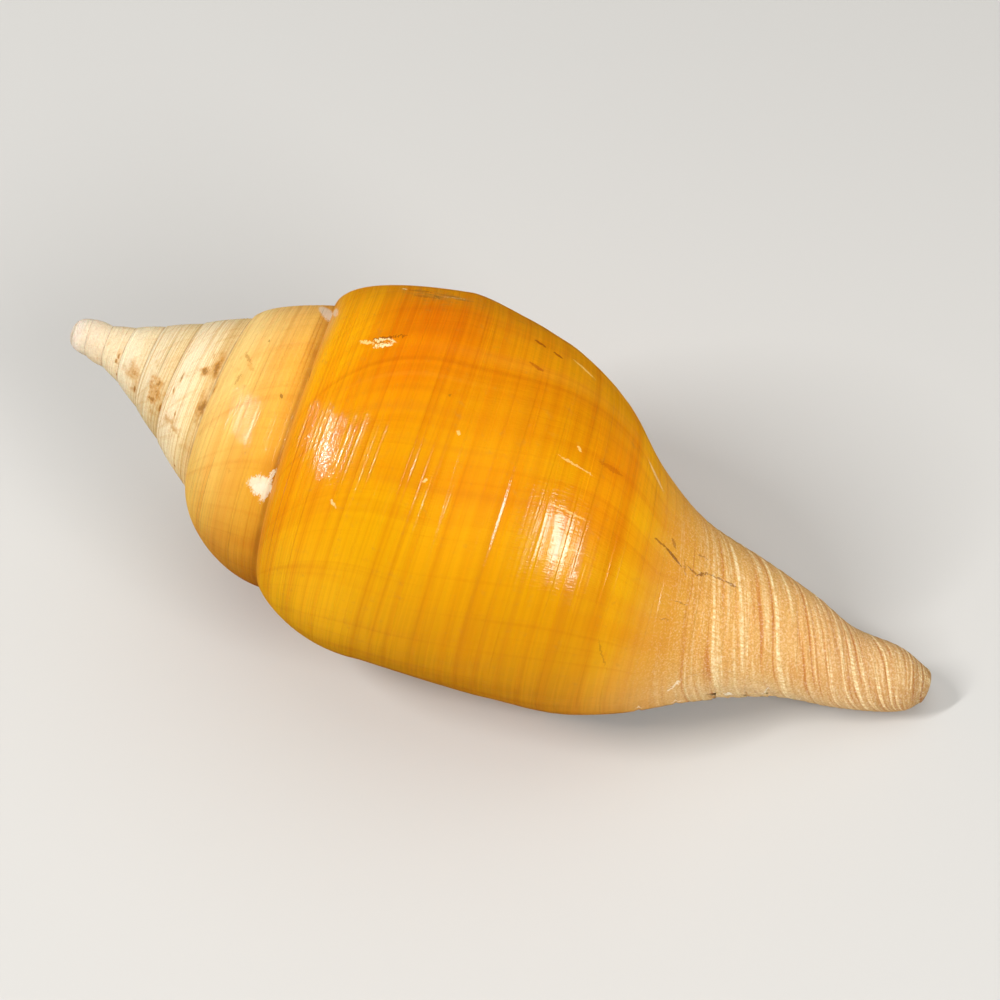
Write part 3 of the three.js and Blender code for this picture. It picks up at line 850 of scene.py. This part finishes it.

# Marks of wear, with a few of painted light: pale painted glints among the top scratches, and brown painted
# shade along the edges of a flake scar. Each has its colour, turn and place of one end, turn and place of the
# other, half the width in places, strength, and how ragged it is. They wander up to this far, and their edges
# lie between two values of a nearness that falls from 1 on the line to 0
MARK_WANDER = 0.03
MARK_EDGE = (0.43, 0.63)
WEAR_MARKS_AND_PAINTED_LIGHT = (
    ("8A4A12", -0.2925, 1.956, -0.2875, 2.014, 0.006, 0.7, 0.8),
    ("7A400E", -0.2875, 2.014, -0.2737, 2.097, 0.008, 0.8, 0.8),
    ("8A4A12", -0.2775, 2.139, -0.2737, 2.183, 0.006, 0.7, 0.8),
    ("7A400E", -0.2737, 2.183, -0.2863, 2.228, 0.007, 0.8, 0.8),
    ("8A4A12", -0.2863, 2.228, -0.2937, 2.306, 0.006, 0.7, 0.8),
    ("7A400E", -0.2937, 2.306, -0.295, 2.344, 0.008, 0.7, 0.8),
    ("9A5A1C", -0.3063, 2.175, -0.3113, 2.222, 0.006, 0.6, 0.8),
    ("9A5A1C", -0.3013, 2.042, -0.295, 2.056, 0.01, 0.6, 1),
    ("9A6024", -0.2863, 2.111, -0.2638, 2.128, 0.003, 0.5, 0.5),
    ("8A5220", -0.1963, 2.061, -0.1975, 2.092, 0.004, 0.5, 0.5),
    ("8A5220", -0.2238, 2.097, -0.2238, 2.164, 0.004, 0.5, 0.5),
    ("A03C06", -0.49, 1.314, -0.4812, 1.364, 0.006, 0.8, 0.8),
    ("A03C06", -0.4775, 1.394, -0.4712, 1.425, 0.006, 0.8, 0.8),
    ("B04C08", -0.455, 1.317, -0.4475, 1.369, 0.006, 0.6, 0.8),
    ("B04C08", -0.3562, 1.661, -0.3462, 1.747, 0.01, 0.4, 1.5),
    ("FFD27A", -0.475, 1.475, -0.4575, 1.567, 0.006, 0.7, 0.8),
    ("FFD27A", -0.37, 1.558, -0.3662, 1.572, 0.005, 0.7, 0.8),
    ("F8D8A0", -0.3838, 1.872, -0.3625, 1.956, 0.01, 0.5, 0.8),
    ("9A5A18", -0.1787, 1.836, -0.1375, 1.892, 0.003, 0.4, 0.5),
    ("FFF0D0", -0.0663, 2.158, -0.0925, 2.2, 0.007, 0.7, 0.8),
    ("C09058", -0.0925, 2.2, -0.1138, 2.269, 0.005, 0.5, 0.8),
    ("C09058", -0.1138, 2.269, -0.1312, 2.383, 0.005, 0.4, 0.8),
    # Flake scar: the brown lines are painted shade of its broken edges, which have no relief; the pale ones
    # are its own colour
    ("8A4C08", -0.441, 0.545, -0.448, 0.65, 0.009, 0.85, 1.2),
    ("9A5208", -0.4475, 0.64, -0.453, 0.725, 0.005, 0.7, 0.8),
    ("FFD888", -0.4355, 0.46, -0.437, 0.55, 0.007, 0.8, 1.5),
    ("FFE4A4", -0.44, 0.555, -0.444, 0.62, 0.008, 0.85, 1.6),
    ("FFEDB4", -0.4335, 0.57, -0.4395, 0.655, 0.009, 0.9, 1.6),
    ("FFE4A4", -0.444, 0.625, -0.443, 0.67, 0.006, 0.8, 1.6),
    ("A8641C", -0.4375, 0.55, -0.44, 0.615, 0.004, 0.8, 1.5),
    ("F1DDBC", -1.264, 0.85, -1.272, 0.96, 0.03, 0.95, 1),
    ("F4E2C4", -1.259, 0.89, -1.266, 0.975, 0.028, 0.95, 1),
    ("EFD9B6", -1.253, 0.95, -1.268, 0.985, 0.02, 0.9, 1.2),
    ("F1DDBC", -1.272, 0.96, -1.285, 0.985, 0.014, 0.9, 1.2),
    ("E4CDB4", -1.53, 0.888, -1.498, 0.985, 0.05, 0.8, 1),
    ("E4CDB4", -0.506, 0.02, -0.485, 0.11, 0.03, 0.6, 1.5),
    ("7E4E18", -0.405, 0.0, -0.3925, 0.05, 0.018, 0.55, 2.5),
    ("A8702C", -1.4025, 0.34, -1.3925, 0.44, 0.012, 0.5, 3),
    ("A8702C", -1.36, 0.375, -1.37, 0.395, 0.016, 0.5, 3),
    ("8A5A14", -0.41, 1.033, -0.41, 1.036, 0.006, 0.5, 1),
    ("8A5A1E", -1.363, 0.846, -1.362, 0.854, 0.01, 0.7, 1.2),
    ("9A6420", -1.4312, 0.524, -1.4305, 0.532, 0.009, 0.6, 1.2),
    ("FFD890", -0.34, 1.056, -0.3405, 1.062, 0.008, 0.7, 1),
    ("FFD080", -0.3812, 1.125, -0.3812, 1.131, 0.005, 0.6, 1),
    ("FFDFA0", -0.295, 0.638, -0.2925, 0.675, 0.005, 0.6, 1.2),
    ("FFCB78", -0.3625, 1.497, -0.3438, 1.633, 0.003, 0.6, 1),
    ("FFCB78", -0.32, 1.522, -0.3013, 1.664, 0.003, 0.6, 1),
    ("FFCB78", -0.2837, 1.575, -0.2687, 1.708, 0.003, 0.4, 1),
    ("B45C0C", -0.5375, 0.65, -0.5375, 0.77, 0.012, 0.7, 2),
    ("B45C0C", -0.52, 0.688, -0.52, 0.806, 0.01, 0.6, 2),
    ("B45C0C", -0.535, 0.825, -0.5275, 0.98, 0.012, 0.6, 2),
    # Painted glints: two thin pale marks among the top scratches
    ("FFEBB0", -0.542, 0.6, -0.54, 0.625, 0.007, 0.9, 1),
    ("FFE2A0", -0.529, 0.85, -0.532, 0.95, 0.006, 0.8, 2.5),
    ("FFF0D8", -0.03, 2.362, -0.045, 2.372, 0.012, 0.9, 1.5),
    ("FFF0D8", -0.055, 2.49, -0.065, 2.5, 0.012, 0.9, 1.5),
    ("FFF0D8", -0.04, 2.605, -0.044, 2.615, 0.012, 0.8, 1.5),
    ("FFF0D8", -0.032, 2.76, -0.034, 2.77, 0.012, 0.8, 1.5),
    ("FFE6C0", -0.015, 2.045, -0.02, 2.06, 0.01, 0.8, 1.5),
    ("FFE6C0", -0.012, 2.18, -0.02, 2.21, 0.01, 0.8, 1.5),
)

MOUTH_COLOUR = "F0C898"
FLOOR_SIZE = 6

# The camera: its place in the coil's frame, how far the coil's axis falls in the picture, and its lens
CAMERA_PLACE = np.array([59.38, 2.56, 336.4]) * MM
AXIS_SLOPE = math.radians(24.5)
CAMERA_LENS = 93.8

# Soft lights, which face the coil's axis at one depth: name, direction from there in the coil's frame,
# distance, size, watts, and whether the gloss shows it
LIT_DEPTH = 55
SOFTBOXES = (
    ("key softbox", (0.531, 0.04, 0.844), 0.6, (0.15, 0.28), 2.0, True),
    ("wide softbox", (0.56, 0.02, 0.82), 0.62, (0.3, 0.5), 0.45, True),
    ("side strip", (-0.8, -0.02, 0.6), 0.6, (0.025, 0.26), 2.45, True),
    ("top fill", (-0.25, 0.8, 0.55), 1.0, (1.0, 1.0), 3.5, False),
)
SKY_COLOUR = "F2F1EE"
SKY_STRENGTH = 0.28

# Settings that many nodes share
FLAT = {"noise_dimensions": "2D"}
SPHERE = {"gradient_type": "SPHERICAL"}
SMOOTH = {"interpolation_type": "SMOOTHSTEP"}
TIMES = {"operation": "MULTIPLY"}
TIMES_PLUS = {"operation": "MULTIPLY_ADD"}
COVER = {"data_type": "RGBA"}
STAIN = {"data_type": "RGBA", "blend_type": "MULTIPLY"}


def add_colour(add, shade, code, value, low, high, strength=1, within=None, blend=COVER, rise=SMOOTH):
    """Adds a colour over the shade. It begins to show at one value, and shows fully at the other."""
    share = add("MapRange", rise, Value=value, From_Min=low, From_Max=high, To_Max=strength)
    if within:
        share = add("Math", TIMES, i0=share, i1=within)
    return add("Mix", blend, i0=share, i6=shade, i7=colour(code))


def read_notes(add):
    """The values noted for the corners, and coordinates made of them. The even ones are about as long one
    way as the other, and "here" is in metres."""
    names = ("turn", "place", "mouth", "growth", "strand", "cord", "dirt", "vivid", "spire", "canal")
    read = {name: add("Attribute", {"attribute_name": name}).outputs["Fac"] for name in names}
    read["grown"] = add("CombineXYZ", X=read["growth"], Y=read["place"])
    read["around"] = add("CombineXYZ", X=read["turn"], Y=read["place"])
    read["along cords"] = add("CombineXYZ", X=read["turn"], Y=read["strand"])
    read["even"] = add("Mapping", Vector=read["around"], Scale=(PLACES_PER_TURN, 1, 1))
    read["here"] = add("TexCoord").outputs["Object"]
    return read


def add_streaks(add, read, shade):
    for name, where, code, per_turn, per_place, low, high, strength in STREAKS:
        noise = add(
            "TexNoise", {**FLAT, "label": name}, {"scale": (per_turn, per_place, 1)},
            Vector=read["grown"], Scale=1, Detail=2, Roughness=0.55,
        )
        shade = add_colour(add, shade, code, noise, low, high, strength, read[where], STAIN)
    return shade


def add_cord_colours(add, read, shade):
    """Pale beaded crests, partly rubbed and partly painted glints; dirt stays in the grooves."""
    fibres = add(
        "TexNoise", FLAT, {"scale": (*FIBRES, 1)},
        Vector=read["along cords"], Scale=1, Detail=3, Roughness=0.65,
    )
    fibres = add("Math", TIMES_PLUS, i0=fibres, i1=2 * FIBRE_SWING, i2=-FIBRE_SWING)
    fibres = add("Math", TIMES, i0=fibres, i1=read["canal"])
    cords = add("Math", TIMES_PLUS, i0=read["cord"], i1=CORD_SWING, i2=fibres)
    beads = add("TexNoise", FLAT, {"scale": (*BEADS, 1)}, Vector=read["along cords"], Scale=1, Detail=1)
    beads = add("MapRange", Value=beads, From_Min=0.35, From_Max=0.65, To_Min=0.25)
    # Painted glints: pale beads on the crests, over their own rubbed colour
    shade = add_colour(add, shade, CREST_AND_GLINT_COLOUR, cords, 0.05, 0.65, within=beads)
    return add_colour(add, shade, GROOVE_COLOUR, cords, -0.12, -0.75, 0.75, blend=STAIN)


def add_soft_lines(add, read, shade):
    """Old edges of the lip follow the growth lines; bands and a painted groove shadow lie round the coil."""
    edges = [("grown", code, at, width, length, s) for code, *at, length, width, s in OLD_EDGES]
    bands = [("around", code, at, length, width, s) for code, *at, length, width, s in BANDS_AND_GROOVE_SHADOW]
    for space, code, at, half_turn, half_place, strength in edges + bands:
        placed = {
            "vector_type": "TEXTURE", "translation": (*at, 0),
            "scale": (LINE_REACH * half_turn / PLACES_PER_TURN, LINE_REACH * half_place, 1),
        }
        near = add("TexGradient", SPHERE, placed, Vector=read[space]).outputs["Fac"]
        shade = add_colour(add, shade, code, near, 0, 1, strength)
    return shade


def add_seam_dirt_and_shade(add, read, shade):
    patchy = add("TexNoise", FLAT, Vector=read["even"], Scale=4, Detail=3)
    patchy = add("MapRange", Value=patchy, From_Min=0.35, From_Max=0.65, To_Min=0.3)
    on_spire = add("MapRange", Value=read["turn"], From_Min=SEAMS_END[1], From_Max=SEAMS_END[0])
    patchy = add("Math", TIMES, i0=patchy, i1=on_spire)
    last_seam = add("MapRange", Value=read["turn"], From_Min=LAST_SEAM[0], From_Max=LAST_SEAM[1])
    # Both darken the seam's crease: the dirt there, and its painted shade
    for code, start, on_older, on_last in SEAM_DIRT_AND_SHADE:
        strength = add("MapRange", Value=last_seam, To_Min=on_older, To_Max=on_last)
        strength = add("Math", TIMES, i0=strength, i1=patchy)
        shade = add_colour(add, shade, code, read["place"], start, SEAM_DIRT_AND_SHADE_FULL, within=strength)
    return shade


def add_wear_marks_and_painted_light(add, read, shade):
    """Noise is a half on average, so the marks are moved by half of what they wander."""
    wander = add("TexNoise", FLAT, Vector=read["even"], Scale=50, Detail=2, Roughness=0.7)
    wandering = add("VectorMath", TIMES_PLUS, i0=wander, i1=(MARK_WANDER, MARK_WANDER, 0), i2=read["even"])
    grit = add("TexNoise", FLAT, Vector=read["even"], Scale=90, Detail=2, Roughness=0.7)
    for code, *ends, half_width, strength, raggedness in WEAR_MARKS_AND_PAINTED_LIGHT:
        first, last = np.reshape(ends, (2, 2)) * (PLACES_PER_TURN, 1)
        along = last - first
        placed = {
            "vector_type": "TEXTURE", "translation": (*((first + last + MARK_WANDER) / 2), 0),
            "rotation": (0, 0, math.atan2(along[1], along[0])),
            "scale": (np.linalg.norm(along) + 2 * half_width, 2 * half_width, 1),
        }
        near = add("TexGradient", SPHERE, placed, Vector=wandering).outputs["Fac"]
        near = add("Math", TIMES_PLUS, i0=grit, i1=-raggedness / 2, i2=near)
        low, high = [edge - raggedness / 4 for edge in MARK_EDGE]
        shade = add_colour(add, shade, code, near, low, high, strength)
    return shade


def add_stains(add, read, shade):
    blots = add("TexNoise", Vector=read["here"], Scale=BLOTS_PER_METRE, Detail=3, Roughness=0.55)
    blots = add("Math", TIMES_PLUS, i0=read["dirt"], i1=DIRT_WEIGHT, i2=blots)
    for code, low, high, strength in STAINS:
        shade = add_colour(add, shade, code, blots, low, high, strength)
    return shade


def add_grain(add, read, shade):
    """Chalky grain where the polish is worn off: most on the canal, and less on the spire."""
    grain = add("TexNoise", Vector=read["here"], Scale=GRAINS_PER_METRE, Detail=2, Roughness=0.6)
    dull = add("MapRange", Value=read["vivid"], From_Min=1, From_Max=LEAST_VIVID, To_Max=0.35)
    dull = add("Math", TIMES_PLUS, i0=read["canal"], i1=0.65, i2=dull)
    for code, low, high, strength in GRAINS:
        shade = add_colour(add, shade, code, grain, low, high, strength, dull, rise=None)
    return shade


def add_mouth_colour(add, read, shade):
    """Inside the mouth the shell is smooth china of one colour."""
    return add_colour(add, shade, MOUTH_COLOUR, read["mouth"], 0, 0.6, rise=None)


def add_ridges(add, read):
    """Fine ridges that break up the highlights. Also gives the last ones, the threads, by themselves."""
    relief = 0.0
    for per_turn, per_place, low, high, height in RIDGES:
        noise = add(
            "TexNoise", FLAT, {"scale": (per_turn, per_place, 1)},
            Vector=read["grown"], Scale=1, Detail=1,
        )
        threads = add("MapRange", Value=noise, From_Min=low, From_Max=high)
        relief = add("Math", TIMES_PLUS, i0=threads, i1=height, i2=relief)
    return add("Bump", Height=relief, Strength=1, Distance=1 * MM), threads


def add_glaze(add, read, threads):
    """The glaze is worn dull between the threads, on the spire and on the canal. It is thin on slanting
    surfaces, which it would veil with white."""
    glaze = add("MapRange", Value=read["vivid"], From_Min=LEAST_VIVID, To_Min=0.12)
    kept = add("MapRange", Value=threads, From_Min=0.44, From_Max=0.54, To_Min=0.25)
    glaze = add("Math", TIMES, i0=glaze, i1=kept)
    slant = add("LayerWeight").outputs["Facing"]
    clear = add("MapRange", Value=slant, From_Min=0.45, From_Max=0.85, To_Min=1, To_Max=0.1)
    return add("Math", TIMES, i0=glaze, i1=clear)


LAYERS = (
    add_streaks, add_cord_colours, add_soft_lines, add_seam_dirt_and_shade, add_wear_marks_and_painted_light, add_stains, add_grain,
    add_mouth_colour,
)


def shell_material():
    """A sea shell, grown in layers of lime and polished by wear: glossy like glazed china, and a little
    see-through."""
    material, add = new_material("worn polished shell")
    read = read_notes(add)
    shade = add("Attribute", {"attribute_name": "ground"}).outputs["Color"]
    for add_layer in LAYERS:
        shade = add_layer(add, read, shade)
    bump, threads = add_ridges(add, read)
    rough = add("MapRange", Value=read["vivid"], To_Min=0.5, To_Max=0.42)
    surface = add(
        "BsdfPrincipled", Base_Color=shade, Roughness=rough, IOR=1.4, Specular_IOR_Level=0.06,
        Normal=bump, Coat_Weight=add_glaze(add, read, threads), Coat_Roughness=0.08, Coat_Normal=bump,
        Subsurface_Weight=0.1, Subsurface_Scale=0.8 * MM,
    )
    add("OutputMaterial", Surface=surface)
    return material


def floor_material():
    """Matt paper with no pattern at this size: it only catches the soft shadow."""
    material, add = new_material("pale matt paper")
    surface = add("BsdfPrincipled", Base_Color=colour("CCCAC6"), Roughness=0.85)
    add("OutputMaterial", Surface=surface)
    return material


shell.data.materials.clear()
shell.data.materials.append(shell_material())

# Floor
bpy.ops.mesh.primitive_plane_add(size=FLOOR_SIZE)
floor = bpy.context.object
floor.name = "floor"
floor.data.materials.append(floor_material())
floor.visible_glossy = False


def add_camera():
    """The camera looks straight down on the coil's axis, which falls to the lower right."""
    eye = bpy.data.cameras.new("camera")
    eye.lens = CAMERA_LENS
    eye.clip_start = 0.01
    camera = bpy.data.objects.new("camera", eye)
    bpy.context.scene.collection.objects.link(camera)
    turned = Matrix.Rotation(AXIS_SLOPE, 4, "Z")
    camera.matrix_world = coil_frame @ Matrix.Translation(CAMERA_PLACE) @ turned
    bpy.context.scene.camera = camera


def add_softbox(name, towards, distance, size, watts, in_gloss):
    """A soft rectangular light. Its height is level with the coil's Y axis."""
    target = coil_frame @ Vector((LIT_DEPTH * MM, 0, 0))
    away = (coil_frame.to_3x3() @ Vector(towards)).normalized()
    across = (coil_frame.to_3x3() @ Vector((0, 1, 0))).cross(away).normalized()
    lamp = bpy.data.lights.new(name, "AREA")
    lamp.shape = "RECTANGLE"
    lamp.size, lamp.size_y = size
    lamp.energy = watts
    box = bpy.data.objects.new(name, lamp)
    bpy.context.scene.collection.objects.link(box)
    turned = Matrix((across, away.cross(across), away)).transposed().to_4x4()
    box.matrix_world = Matrix.Translation(target + away * distance) @ turned
    box.visible_glossy = in_gloss


def add_sky():
    """Even pale light from all round, which the gloss doesn't show."""
    sky = bpy.data.worlds.new("studio")
    bpy.context.scene.world = sky
    sky.use_nodes = True
    background = sky.node_tree.nodes["Background"]
    background.inputs["Color"].default_value = colour(SKY_COLOUR)
    background.inputs["Strength"].default_value = SKY_STRENGTH
    sky.cycles_visibility.glossy = False


add_camera()
for softbox in SOFTBOXES:
    add_softbox(*softbox)
add_sky()
bpy.context.scene.view_settings.view_transform = "Standard"
